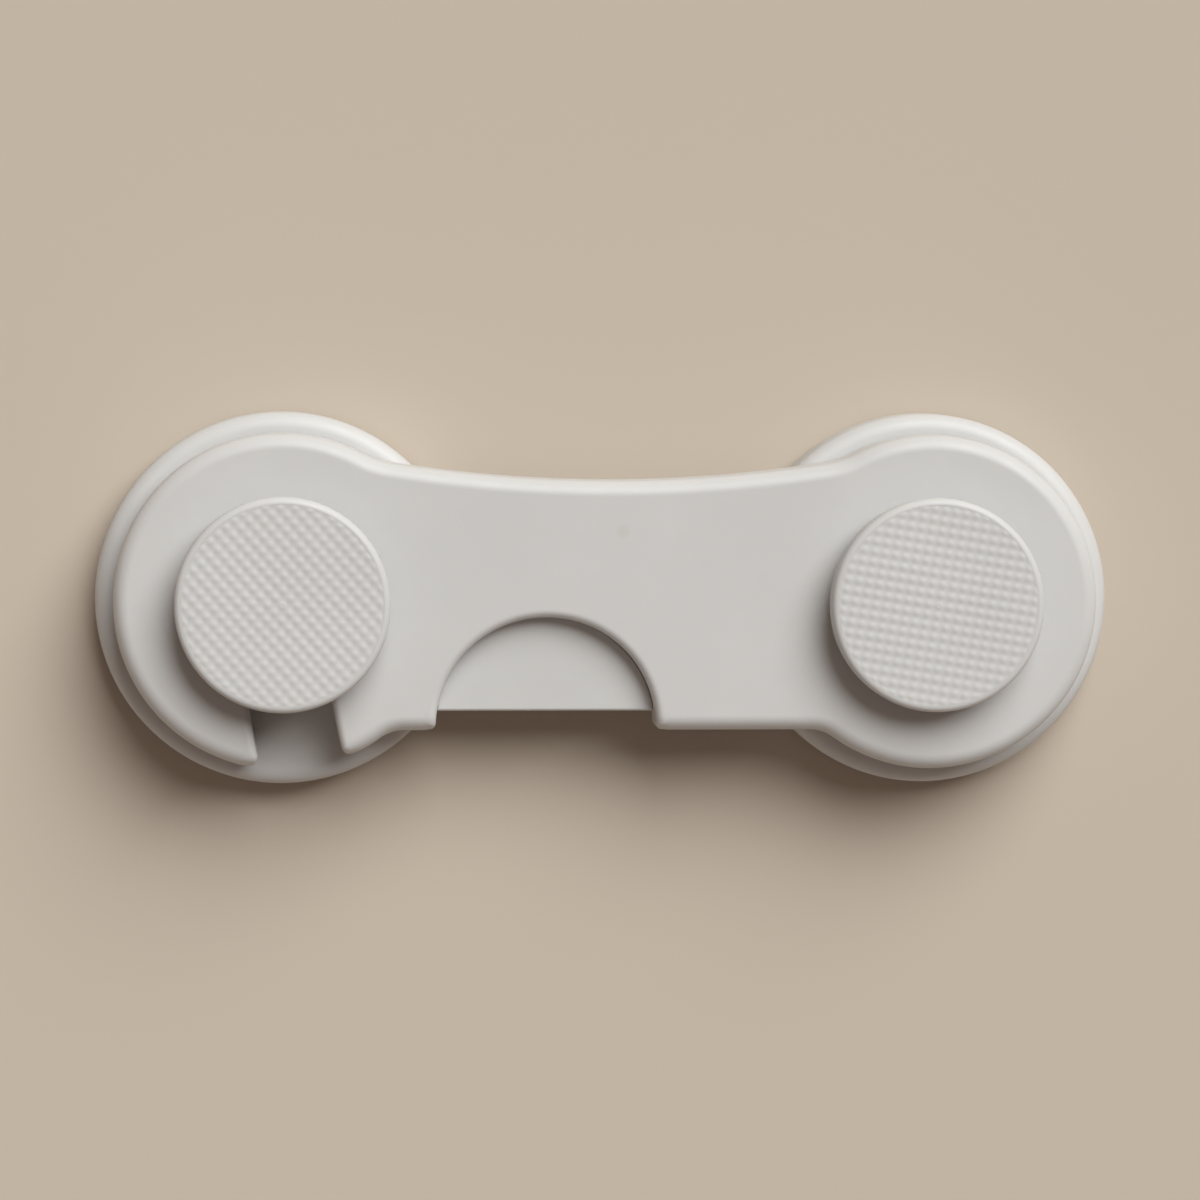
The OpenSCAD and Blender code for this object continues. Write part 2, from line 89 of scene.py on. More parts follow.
# Places and sizes that the frame gives
LATCH = middle("latch_base")
PIVOT = middle("pivot_base")
ENDS = {"latch": LATCH, "pivot": PIVOT}
POST_SPACING = PIVOT[0] - LATCH[0]
PAD_R = reach("latch_pad")
PAD_Z, PAD_TOP = heights("latch_pad")
BASE_R = reach("latch_base")
BASE_Z, BASE_TOP = heights("latch_base")
CAP_R = reach("latch_button")
STEM_Z, CAP_TOP = heights("latch_button")
FLANGE_R = reach("latch_plunger")
FLANGE_Z, CAP_Z = heights("latch_plunger")
SPRING_R = reach("latch_spring")
BAR_Z, BAR_TOP = heights("bar_cover")
LOBE_R = LATCH[0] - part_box("bar_cover")[0].x
FLOOR_Z = heights("bar_back_plate")[1]
PRESS_TRAVEL = next(j["range_m"][1] for j in frame["joints"] if j["name"] == "latch_press")

# Clearances
RUN_PLAY = 0.05 * MM
SEAT_PLAY = 0.15 * MM
STOP_PLAY = 0.05 * MM
SLOT_PLAY = 0.2 * MM
COLLAR_PLAY = 0.15 * MM
SEAT_STEP = 0.2 * MM
SPRING_PLAY = 0.25 * MM
COLLAR_DROP = 0.2 * MM
PILOT_PLAY = 0.04 * MM

# Pads
FOAM_BULGE = 0.12 * MM
FOAM_EDGE = 0.1 * MM
FOAM_ROUND = 0.3 * MM

# Bases
BASE_EDGE = 1.4 * MM
BASE_FOOT = 0.25 * MM
BASE_WALL = 1.6 * MM
BASE_SKIN = 1.4 * MM
REAR_PLATE_T = 1 * MM
LEDGE_W = 1 * MM
TUBE_WALL = 1.2 * MM
RIB_COUNT = 6
RIB_T = 1 * MM
RIB_BITE = 0.2 * MM
KEY_BITE = 0.3 * MM
KEY_LIFT = 0.1 * MM
BORE_EDGE = 0.2 * MM
TUBE_EDGE = 0.1 * MM
TUBE_FILLET = 0.2 * MM
HOLLOW_FILLET = 0.3 * MM
PLATE_SEAT_EDGE = 0.15 * MM
CHAMBER_Z = BASE_Z + REAR_PLATE_T
CHAMBER_TOP = BASE_TOP - BASE_SKIN
CHAMBER_R = FLANGE_R + SEAT_PLAY
TUBE_R = CHAMBER_R + TUBE_WALL
PLATE_SEAT_R = BASE_R - BASE_WALL
HOLLOW_R = PLATE_SEAT_R - LEDGE_W

# Plungers
NECK_R = 4 * MM
COLLAR_R = 5.7 * MM
COLLAR_TOP = BAR_Z + PRESS_TRAVEL - COLLAR_DROP
FLANGE_T = 0.85 * MM
FLANGE_FLAT = 0.8 * MM
FLANGE_EDGE = 0.15 * MM
COLLAR_FILLET = 0.1 * MM
COLLAR_EDGE = 0.25 * MM
NECK_FILLET = 0.2 * MM
NECK_EDGE = 0.1 * MM
SHELF_T = 1.2 * MM
SHELF_Z = STEM_Z - SHELF_T
STEM_R = 2.7 * MM
CAP_SCREW_R = 1 * MM
CAP_SCREW_BITE = 3.4 * MM
SPRING_BORE_R = SPRING_R + SPRING_PLAY
SPRING_BORE_EDGE = 0.2 * MM

# Caps
CAP_EDGE = 0.6 * MM
CAP_FOOT = 0.3 * MM
CAP_HOLLOW = 1 * MM
CAP_RIM = 1.6 * MM
CAP_RIM_EDGE = 0.2 * MM
ROOF_FILLET = 0.3 * MM
SKIRT_FILLET = 0.2 * MM
SKIRT_EDGE = 0.1 * MM
STEM_EDGE = 0.3 * MM
PILOT_EDGE = 0.15 * MM
GRIP_MARGIN = 0.05 * MM
GRIP_PITCH = 1.06 * MM
GRIP_H = 0.1 * MM
GRIP_DOTS = 0.4
GRIP_FADE = 0.3 * MM
GRIP_STEP = 0.12 * MM
GRIP_SEGMENTS = 480
GRIP_TURNS = {"latch": math.radians(42), "pivot": math.radians(-10)}
GRIP_R = CAP_R - CAP_EDGE - GRIP_MARGIN
CAP_FACE = CAP_TOP - GRIP_H / 2

# Springs
WIRE_R = 0.25 * MM
SPRING_TURNS = 5
SPRING_FLAT = 0.6
WIRE_SIDES = 12
WIRE_RINGS = 36

# Bar
BAR_EDGE = 1.5 * MM
BAR_FOOT = 0.2 * MM
BAR_WALL = 1.7 * MM
BAR_SKIN = 1.6 * MM
BACK_PLATE_T = 1.2 * MM
PLATE_TOP = BAR_Z + BACK_PLATE_T
WALL_FOOT = max(PLATE_TOP, COLLAR_TOP + SLOT_PLAY)
PLATE_INSET = BAR_WALL + SEAT_PLAY
PLATE_EDGE = 0.15 * MM
FLOOR_EDGE = 0.3 * MM
FLOOR_RIM = 0.1 * MM
FLOOR_FOOT = 0.02 * MM
FLOOR_PLAY = 0.06 * MM
FLOOR_CORNER_R = 0.15 * MM
WAIST_DIP = 4.7 * MM
WAIST_LIFT = 4 * MM
WAIST_TOP = LOBE_R - WAIST_DIP
WAIST_BOTTOM = LOBE_R - WAIST_LIFT
WAIST_RISE = 3.95 * MM
WAIST_R = ((POST_SPACING / 2) ** 2 + WAIST_RISE ** 2) / (2 * WAIST_RISE)
WAIST = np.array((0, WAIST_TOP + WAIST_R))
TOP_BLEND_R = 10 * MM
LOW_BLEND_R = 4 * MM
# Gate spot: painted shade where the injection point left a shallow dimple that the mesh does not have
GATE_R = 0.85 * MM
GATE_SHADE_TINT = (0.95, 0.945, 0.915)
GATE = np.array((1.35, 7.3)) * MM

# Slot and notch
SLOT_R = NECK_R + SLOT_PLAY
WIDE_R = COLLAR_R + COLLAR_PLAY
SLOT_SWEEP = 2 * math.degrees(math.asin((LOBE_R + BAR_WALL) / POST_SPACING / 2))
SLOT_EDGE = 0.7 * MM
TIP_R = 1 * MM
NOTCH_R = 11.2 * MM
NOTCH_LAND = 2.48 * MM
NOTCH_RISE = 0.3 * MM
NOTCH_CORNER_R = 0.7 * MM
NOTCH_EDGE = 0.8 * MM

# Bar screws
BAR_SCREW_R = 0.8 * MM
BAR_SCREW_HEAD_R = 1.6 * MM
BAR_SCREW_BITE = 2 * MM
SCREW_BOSS_WALL = 1.1 * MM
UPPER_SCREW_DROP = 5.4 * MM
OUTER_SCREW_BACK = 15 * MM
LOW_SCREW_BACK = 18.5 * MM
LOW_SCREW_LIFT = 4.8 * MM
UPPER_SCREW_Y = WAIST_TOP - UPPER_SCREW_DROP
OUTER_SCREW_X = POST_SPACING / 2 - OUTER_SCREW_BACK
LOW_SCREW = np.array((POST_SPACING / 2 - LOW_SCREW_BACK, LOW_SCREW_LIFT - WAIST_BOTTOM))

# Mesh fineness: steps of each arc or line, and what else shapes the meshes
LOBE_STEPS = 200
OUTER_LOBE_STEPS = 120
INNER_LOBE_STEPS = 24
WAIST_STEPS = 100
TOP_BLEND_STEPS = 24
LOW_BLEND_STEPS = 16
FOOT_STEPS = 60
LAND_STEPS = 12
SLOT_STEPS = 40
SLOT_END_STEPS = 64
TIP_STEPS = 16
NOTCH_STEPS = 100
NOTCH_CORNER_STEPS = 12
FLOOR_STEPS = 40
FLOOR_CORNER_STEPS = 8
CUTTER_STEPS = 80
CUTTER_END_STEPS = 48
CIRCLE_STEPS = 96
HOLE_STEPS = 64
FILLET_STEPS = 6
EDGE_STEPS = 14
FACE_FINENESS = 3
HOLD = 0.08 * MM
POINT_R = 0.04 * MM
SEGMENTS = 192
CUT = 0.5 * MM
SHARP = math.radians(32)
STRAIGHT_SLACK = 1e-4
FACE_SLACK = 1e-9


# Outlines

def heading(start, end):
    """Direction between two points, in degrees from 0 to 360."""
    return math.degrees(math.atan2(end[1] - start[1], end[0] - start[0])) % 360


def meeting(c1, r1, c2, r2, side):
    """Point at distance r1 from c1 and r2 from c2, left of the way from c1 to c2 for a side of 1."""
    d = np.linalg.norm(c2 - c1)
    along = (r1 * r1 - r2 * r2 + d * d) / (2 * d)
    across = math.sqrt(r1 * r1 - along * along)
    u = (c2 - c1) / d
    return c1 + along * u + side * across * np.array((-u[1], u[0]))


def arc(centre, r, start, stop, steps):
    a = np.radians(np.linspace(start, stop, steps + 1))
    return centre + r * np.column_stack((np.cos(a), np.sin(a)))


def line(start, stop, steps):
    t = np.linspace(0, 1, steps + 1)[:, None]
    return np.array(start) * (1 - t) + np.array(stop) * t


def joined(*stretches):
    """One closed outline from stretches that each start where the last one ends."""
    return np.vstack([stretch[:-1] for stretch in stretches])


def strung(*stretches):
    """One open path from stretches that each start where the last one ends."""
    return np.vstack((joined(*stretches), stretches[-1][-1:]))


def flip(p):
    return np.array((-p[0], p[1]))


TOP_BLEND_L = meeting(LATCH, LOBE_R + TOP_BLEND_R, WAIST, WAIST_R - TOP_BLEND_R, -1)
TOP_BLEND = flip(TOP_BLEND_L)
LOW_BLEND_Y = -WAIST_BOTTOM - LOW_BLEND_R
LOW_BLEND_L = np.array((
    LATCH[0] + math.sqrt((LOBE_R + LOW_BLEND_R) ** 2 - LOW_BLEND_Y ** 2),
    LOW_BLEND_Y,
))
LOW_BLEND = flip(LOW_BLEND_L)
CORNER_RISE = NOTCH_CORNER_R - NOTCH_RISE
CORNER_REACH = math.sqrt((NOTCH_R + NOTCH_CORNER_R) ** 2 - CORNER_RISE ** 2)
NOTCH = np.array((LOW_BLEND_L[0] + NOTCH_LAND + CORNER_REACH, NOTCH_RISE - WAIST_BOTTOM))
SCREWS = [
    np.array((-OUTER_SCREW_X, UPPER_SCREW_Y)),
    np.array((NOTCH[0], UPPER_SCREW_Y)),
    np.array((OUTER_SCREW_X, UPPER_SCREW_Y)),
    LOW_SCREW,
]

# Each rim below can be moved into the material by an inset.
# A corner that the inset uses up keeps POINT_R.


def upper_rim(inset, fine=1):
    """The bar's rim round the pivot end and along the top, up to the latch end."""
    blend_r = TOP_BLEND_R + inset
    waist_right = heading(WAIST, TOP_BLEND)
    waist_left = heading(WAIST, TOP_BLEND_L)
    foot = heading(PIVOT, LOW_BLEND) - 360
    return [
        arc(PIVOT, LOBE_R - inset, foot, heading(PIVOT, TOP_BLEND), LOBE_STEPS * fine),
        arc(TOP_BLEND, blend_r, heading(TOP_BLEND, PIVOT), waist_right, TOP_BLEND_STEPS * fine),
        arc(WAIST, WAIST_R + inset, waist_right, waist_left, WAIST_STEPS * fine),
        arc(TOP_BLEND_L, blend_r, waist_left, heading(TOP_BLEND_L, LATCH), TOP_BLEND_STEPS * fine),
    ]


def slot_rim(inset):
    """The slot's rim, from the tip on its outer side to the tip on its inner side."""
    tip = max(TIP_R - inset, POINT_R)
    back = inset + tip
    outer = meeting(LATCH, LOBE_R - back, PIVOT, POST_SPACING + SLOT_R + back, -1)
    inner = meeting(LATCH, LOBE_R - back, PIVOT, POST_SPACING - SLOT_R - back, -1)
    return [
        arc(outer, tip, heading(LATCH, outer), heading(outer, PIVOT) + 360, TIP_STEPS),
        arc(PIVOT, POST_SPACING + SLOT_R + inset, heading(PIVOT, outer), 180, SLOT_STEPS),
        arc(LATCH, SLOT_R + inset, 180, 0, SLOT_END_STEPS),
        arc(PIVOT, POST_SPACING - SLOT_R - inset, 180, heading(PIVOT, inner), SLOT_STEPS),
        arc(inner, tip, heading(PIVOT, inner), heading(LATCH, inner), TIP_STEPS),
    ]


def notch_rim(inset):
    """The finger notch's rim, with the rounded corners at its two ends."""
    corner = max(NOTCH_CORNER_R - inset, POINT_R)
    rise = inset + corner - NOTCH_RISE
    side = np.array((math.sqrt((NOTCH_R + inset + corner) ** 2 - rise ** 2), rise))
    a = heading((0, 0), side)
    return [
        arc(NOTCH + flip(side), corner, 270, 360 - a, NOTCH_CORNER_STEPS),
        arc(NOTCH, NOTCH_R + inset, 180 - a, a, NOTCH_STEPS),
        arc(NOTCH + side, corner, 180 + a, 270, NOTCH_CORNER_STEPS),
    ]


def plain_outline(inset=0.0, fine=1):
    """The bar's outline without slot and notch."""
    foot = inset - WAIST_BOTTOM
    blend_r = LOW_BLEND_R + inset
    top = heading(LATCH, TOP_BLEND_L)
    return joined(
        *upper_rim(inset, fine),
        arc(LATCH, LOBE_R - inset, top, heading(LATCH, LOW_BLEND_L), LOBE_STEPS * fine),
        arc(LOW_BLEND_L, blend_r, heading(LOW_BLEND_L, LATCH), 90, LOW_BLEND_STEPS * fine),
        line((LOW_BLEND_L[0], foot), (LOW_BLEND[0], foot), 2),
        arc(LOW_BLEND, blend_r, 90, heading(LOW_BLEND, PIVOT), LOW_BLEND_STEPS * fine),
    )


def front_outline(inset):
    """The bar's whole front outline, with the slot and the notch."""
    slot = slot_rim(inset)
    notch = notch_rim(inset)
    foot = inset - WAIST_BOTTOM
    blend_r = LOW_BLEND_R + inset
    top = heading(LATCH, TOP_BLEND_L)
    outer = heading(LATCH, slot[0][0])
    inner = heading(LATCH, slot[-1][-1])
    return joined(
        *upper_rim(inset),
        arc(LATCH, LOBE_R - inset, top, outer, OUTER_LOBE_STEPS),
        *slot,
        arc(LATCH, LOBE_R - inset, inner, heading(LATCH, LOW_BLEND_L), INNER_LOBE_STEPS),
        arc(LOW_BLEND_L, blend_r, heading(LOW_BLEND_L, LATCH), 90, LOW_BLEND_STEPS),
        line((LOW_BLEND_L[0], foot), notch[0][0], LAND_STEPS),
        *notch,
        line(notch[-1][-1], (LOW_BLEND[0], foot), FOOT_STEPS),
        arc(LOW_BLEND, blend_r, 90, heading(LOW_BLEND, PIVOT), LOW_BLEND_STEPS),
    )


def floor_rim(inset):
    """Half-moon floor in the finger notch: its arc, then the edge below it with two small corners."""
    corner = max(FLOOR_CORNER_R - inset, POINT_R)
    r = NOTCH_R - FLOOR_PLAY - inset
    rise = PLATE_INSET + inset + corner - NOTCH_RISE
    side = np.array((math.sqrt((r - corner) ** 2 - rise ** 2), rise))
    a = heading((0, 0), side)
    right = NOTCH + side
    left = NOTCH + flip(side)
    return [
        arc(NOTCH, r, a, 180 - a, NOTCH_STEPS),
        arc(left, corner, 180 - a, 270, FLOOR_CORNER_STEPS),
        line(left - (0, corner), right - (0, corner), FLOOR_STEPS),
        arc(right, corner, 270, 360 + a, FLOOR_CORNER_STEPS),
    ]


def circle(centre, r):
    a = np.arange(CIRCLE_STEPS) * 2 * math.pi / CIRCLE_STEPS
    return centre + r * np.column_stack((np.cos(a), np.sin(a)))


def slot_outline(half):
    """Slot on an arc about the pivot post: round at the latch post, open past the bar's lower edge."""
    return strung(
        arc(PIVOT, POST_SPACING - half, 180 + SLOT_SWEEP, 180, CUTTER_STEPS),
        arc(LATCH, half, 0, 180, CUTTER_END_STEPS),
        arc(PIVOT, POST_SPACING + half, 180, 180 + SLOT_SWEEP, CUTTER_STEPS),
    )


def rounded_path(corners):
    """Path of (radius, height) points through corners (radius, height, fillet), each fillet an arc.
    The first and last corner stay as they are, and extra points beside each fillet keep flats flat."""
    points = [np.array(c[:2], float) for c in corners]
    path = [points[0]]
    for before, here, after, corner in zip(points, points[1:], points[2:], corners[1:-1]):
        back = (before - here) / np.linalg.norm(before - here)
        on = (after - here) / np.linalg.norm(after - here)
        fillet = corner[2]
        half = math.acos(np.clip(back @ on, -1, 1)) / 2
        if fillet == 0 or half > math.pi / 2 - STRAIGHT_SLACK:
            path.append(here)
            continue
        cut = fillet / math.tan(half)
        centre = here + (back + on) / np.linalg.norm(back + on) * fillet / math.sin(half)
        start = here + back * cut - centre
        turn = math.pi - 2 * half
        sign = math.copysign(1, back[0] * on[1] - back[1] * on[0])
        path.append(here + back * (cut + min(HOLD, cut / 2)))
        for i in range(FILLET_STEPS + 1):
            a = -sign * turn * i / FILLET_STEPS
            path.append(centre + (
                start[0] * math.cos(a) - start[1] * math.sin(a),
                start[0] * math.sin(a) + start[1] * math.cos(a),
            ))
        path.append(here + on * (cut + min(HOLD, cut / 2)))
    path.append(points[-1])
    return path


# Meshes

def mesh_object(name, points, faces):
    mesh = bpy.data.meshes.new(name)
    mesh.from_pydata([tuple(p) for p in points], [], faces)
    mesh.validate()
    made = bpy.data.objects.new(name, mesh)
    bpy.context.scene.collection.objects.link(made)
    return made


def ring_faces(count, rings, closed=False):
    """Quads between rings of count points each, the last joined to the first where closed."""
    links = rings if closed else rings - 1
    return [
        (j * count + i, j * count + (i + 1) % count,
         (j + 1) % rings * count + (i + 1) % count, (j + 1) % rings * count + i)
        for j in range(links)
        for i in range(count)
    ]


def stacked(name, rings):
    """Closed solid from rings of points, anticlockwise and in rising order."""
    count = len(rings[0])
    faces = ring_faces(count, len(rings))
    faces.append(tuple(reversed(range(count))))
    faces.append(tuple(range((len(rings) - 1) * count, len(rings) * count)))
    return mesh_object(name, np.vstack(rings), faces)


def prism(name, outline, low, high):
    flat = [np.column_stack((outline, np.full(len(outline), z))) for z in (low, high)]
    return stacked(name, flat)


def cylinder(name, centre, r, low, high):
    return prism(name, circle(centre, r), low, high)


def away(points, path):
    """Distance of each point from a path of short straight steps."""
    way = np.diff(path, axis=0)
    off = points[:, None] - path[None, :-1]
    along = np.clip((off * way).sum(2) / (way * way).sum(1), 0, 1)
    return np.linalg.norm(off - along[..., None] * way, axis=2).min(1)


def drop(distance, r):
    """How far an edge rounded by r lies below its face, at a distance from the outline."""
    left = np.clip(r - distance, 0, r)
    return r - np.sqrt(r * r - left * left)


def eased_face(high, *edges):
    """Height of a face whose edges, each a path and a radius, are rounded."""
    def height(points):
        return high - sum(drop(away(points, path), r) for path, r in edges)
    return height


def eased_solid(name, outline, low, face, foot, edge):
    """Solid on an outline(inset), its foot eased and its face at given heights within the edge radius."""
    turns = np.radians(np.linspace(0, 90, EDGE_STEPS + 1))

    def ring(inset, z=None):
        points = outline(inset)
        level = face(points) if z is None else np.full(len(points), z)
        return np.column_stack((points, level))

    rim = ring(0)
    rings = [ring(foot, low), ring(0, low + foot), rim - (0, 0, HOLD), rim]
    rings += [ring(edge * (1 - math.cos(a))) for a in turns[1:]]
    rings.append(ring(edge + HOLD))
    return stacked(name, rings)


def looped(outline):
    """Closed outline as a path that ends where it starts."""
    return np.vstack((outline, outline[:1]))


def lathe(name, path, centre, segments=SEGMENTS, closed=True, relief=None):
    """Solid turned about a post. A closed path is a ring, an open one starts and ends on the axis."""
    a = np.arange(segments) * 2 * math.pi / segments
    turn = np.column_stack((np.cos(a), np.sin(a)))
    inner = path if closed else path[1:-1]
    rings = [np.column_stack((centre + p[0] * turn, np.full(segments, p[1]))) for p in inner]
    if relief is not None:
        rings = [relief(r) for r in rings]
    points = np.vstack(rings)
    faces = ring_faces(segments, len(rings), closed)
    if not closed:
        last = (len(rings) - 1) * segments
        tips = [(*centre, path[0][1]), (*centre, path[-1][1])]
        points = np.vstack((points, tips))
        for i in range(segments):
            k = (i + 1) % segments
            faces.append((len(points) - 2, k, i))
            faces.append((len(points) - 1, last + i, last + k))
    return mesh_object(name, points, faces)


def block(name, centre, turn, near, far, half, low, high):
    """Block on a line from the centre, between two distances on it and half its width to each side."""
    u = np.array((math.cos(turn), math.sin(turn)))
    v = np.array((-u[1], u[0]))
    outline = np.array([centre + u * x + v * y for x, y in
                        ((near, -half), (far, -half), (far, half), (near, half))])
    return prism(name, outline, low, high)


def combine(target, tool, operation):
    """Cuts, joins or keeps what two solids share, and removes the tool."""
    step = target.modifiers.new("combine", "BOOLEAN")
    step.operation = operation
    step.solver = "EXACT"
    step.object = tool
    scene_now = bpy.context.evaluated_depsgraph_get()
    done = bpy.data.meshes.new_from_object(target.evaluated_get(scene_now))
    target.modifiers.clear()
    target.data = done
    bpy.data.objects.remove(tool)


def cut(target, *tools):
    for tool in tools:
        combine(target, tool, "DIFFERENCE")


def join(target, *tools):
    for tool in tools:
        combine(target, tool, "UNION")


def dress(piece, body, node, material):
    """Smooth shading, material, body and the CAD node that the piece stands for."""
    piece.data.shade_smooth()
    piece.data.set_sharp_from_angle(angle=SHARP)
    piece.data.materials.clear()
    piece.data.materials.append(material)
    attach(piece, body)
    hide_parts(node)
    return piece


# Sub-parts

def foam_pad(end, material):
    """Die-cut foam disc, a little full at its edge."""
    path = rounded_path([
        (0, PAD_Z),
        (PAD_R, PAD_Z, FOAM_EDGE),
        (PAD_R + FOAM_BULGE, (PAD_Z + PAD_TOP) / 2, FOAM_ROUND),
        (PAD_R, PAD_TOP, FOAM_EDGE),
        (0, PAD_TOP),
    ])
    piece = lathe(f"{end}_foam", path, ENDS[end], closed=False)
    dress(piece, "bases", f"{end}_pad", material)


def base_shell(end, material):
    """Round base with a rounded rim, ribs behind its skin and a guide for the plunger."""
    centre = ENDS[end]
    bore = COLLAR_R + RUN_PLAY
    corners = [
        (BASE_R, BASE_Z, BASE_FOOT),
        (BASE_R, BASE_TOP, BASE_EDGE),
        (bore, BASE_TOP, BORE_EDGE),
        (bore, CHAMBER_TOP, 0),
        (CHAMBER_R, CHAMBER_TOP, 0),
        (CHAMBER_R, CHAMBER_Z, TUBE_EDGE),
        (TUBE_R, CHAMBER_Z, TUBE_EDGE),
        (TUBE_R, CHAMBER_TOP, TUBE_FILLET),
        (HOLLOW_R, CHAMBER_TOP, HOLLOW_FILLET),
        (HOLLOW_R, CHAMBER_Z, TUBE_EDGE),
        (PLATE_SEAT_R, CHAMBER_Z, 0),
        (PLATE_SEAT_R, BASE_Z, PLATE_SEAT_EDGE),
    ]
    path = rounded_path([corners[-1], *corners, corners[0]])[1:-1]
    piece = lathe(f"{end}_base_shell", path, centre)
    for i in range(RIB_COUNT):
        turn = 2 * math.pi * i / RIB_COUNT
        join(piece, block("rib", centre, turn, TUBE_R - RIB_BITE, HOLLOW_R + RIB_BITE, RIB_T / 2,
                          CHAMBER_Z, CHAMBER_TOP + CUT))
    for turn in (math.pi / 2, -math.pi / 2):
        join(piece, block("key_flat", centre, turn, CHAMBER_R - FLANGE_FLAT, CHAMBER_R + KEY_BITE,
                          FLANGE_R / 2, CHAMBER_Z + KEY_LIFT, CHAMBER_TOP + KEY_LIFT))
    return dress(piece, "bases", f"{end}_base", material)


def post(end, material):
    """Plunger: a keyed flange, the collar that seats in the bar and the neck under the cap."""
    centre = ENDS[end]
    bore = STEM_R + RUN_PLAY
    hole = CAP_SCREW_R + SEAT_PLAY
    corners = [
        (FLANGE_R, FLANGE_Z, FLANGE_EDGE),
        (FLANGE_R, FLANGE_Z + FLANGE_T, FLANGE_EDGE),
        (COLLAR_R, FLANGE_Z + FLANGE_T, COLLAR_FILLET),
        (COLLAR_R, COLLAR_TOP, COLLAR_EDGE),
        (NECK_R, COLLAR_TOP, NECK_FILLET),
        (NECK_R, CAP_Z, NECK_EDGE),
        (bore, CAP_Z, NECK_EDGE),
        (bore, STEM_Z, 0),
        (hole, STEM_Z, 0),
        (hole, SHELF_Z, 0),
        (SPRING_BORE_R, SHELF_Z, 0),
        (SPRING_BORE_R, FLANGE_Z, SPRING_BORE_EDGE),
    ]
    path = rounded_path([corners[-1], *corners, corners[0]])[1:-1]
    piece = lathe(f"{end}_post", path, centre)
    combine(piece, block("flats", centre, 0, -2 * FLANGE_R, 2 * FLANGE_R, FLANGE_R - FLANGE_FLAT,
                         FLANGE_Z - CUT, CAP_Z + CUT), "INTERSECT")
    return dress(piece, f"{end}_push", f"{end}_plunger", material)


def grip_relief(centre, turn):
    """Shapes the points of a cap's front face into a square grid of soft bumps that fades at the rim."""
    def shaped(ring):
        x, y = (ring[:, :2] - centre).T
        u = x * math.cos(turn) + y * math.sin(turn)
        v = y * math.cos(turn) - x * math.sin(turn)
        rows = np.cos(2 * math.pi * u / GRIP_PITCH)
        columns = np.cos(2 * math.pi * v / GRIP_PITCH)
        bumps = (rows + columns + GRIP_DOTS * rows * columns) / (2 + GRIP_DOTS)
        s = np.clip((GRIP_R - np.hypot(x, y)) / GRIP_FADE, 0, 1)
        made = ring.copy()
        faded = bumps * s * s * (3 - 2 * s)
        made[:, 2] += GRIP_H / 2 * faded * (ring[:, 2] > CAP_FACE - FACE_SLACK)
        return made
    return shaped


def cap(end, material):
    """Push button: a shallow cap with a grip grid, and the stem that sits in the plunger."""
    centre = ENDS[end]
    pilot = CAP_SCREW_R + PILOT_PLAY
    pilot_top = STEM_Z + CAP_SCREW_BITE + STOP_PLAY
    skirt = NECK_R + SEAT_PLAY
    roof = CAP_Z + CAP_HOLLOW
    face = [(r, CAP_FACE) for r in np.arange(0, GRIP_R, GRIP_STEP)]
    rim = rounded_path([
        (GRIP_R, CAP_FACE),
        (CAP_R, CAP_FACE, CAP_EDGE),
        (CAP_R, CAP_Z, CAP_FOOT),
        (CAP_R - CAP_RIM, CAP_Z, CAP_RIM_EDGE),
        (CAP_R - CAP_RIM, roof, ROOF_FILLET),
        (skirt, roof, SKIRT_FILLET),
        (skirt, CAP_Z, SKIRT_EDGE),
        (STEM_R, CAP_Z, 0),
        (STEM_R, STEM_Z, STEM_EDGE),
        (pilot, STEM_Z, PILOT_EDGE),
        (pilot, pilot_top, 0),
        (0, pilot_top),
    ])
    path = [np.array(p, float) for p in face] + rim
    relief = grip_relief(centre, GRIP_TURNS[end])
    piece = lathe(f"{end}_cap", path[::-1], centre, GRIP_SEGMENTS, closed=False, relief=relief)
    return dress(piece, f"{end}_push", f"{end}_button", material)


def coil(end, material):
    """Compression spring with flat end turns."""
    centre = ENDS[end]
    low = CHAMBER_Z + STOP_PLAY + WIRE_R
    high = SHELF_Z - STOP_PLAY - WIRE_R
    count = SPRING_TURNS * WIRE_RINGS + 1
    turns = np.linspace(0, SPRING_TURNS, count)
    share = np.clip((turns - SPRING_FLAT) / (SPRING_TURNS - 2 * SPRING_FLAT), 0, 1)
    round_wire = np.arange(WIRE_SIDES) * 2 * math.pi / WIRE_SIDES
    mean_r = SPRING_R - WIRE_R
    rings = []
    for angle, t in zip(turns * 2 * math.pi, share):
        out = np.array((math.cos(angle), math.sin(angle), 0))
        middle_point = np.array((*centre, low + (high - low) * t)) + mean_r * out
        ring = np.outer(np.cos(round_wire), out) + np.outer(np.sin(round_wire), (0, 0, 1))
        rings.append(middle_point + WIRE_R * ring)
    faces = [tuple(reversed(f)) for f in ring_faces(WIRE_SIDES, count)]
    faces.append(tuple(range(WIRE_SIDES)))
    faces.append(tuple(reversed(range((count - 1) * WIRE_SIDES, count * WIRE_SIDES))))
    piece = mesh_object(f"{end}_coil", np.vstack(rings), faces)
    dress(piece, "bases", f"{end}_spring", material)
    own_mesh(piece)


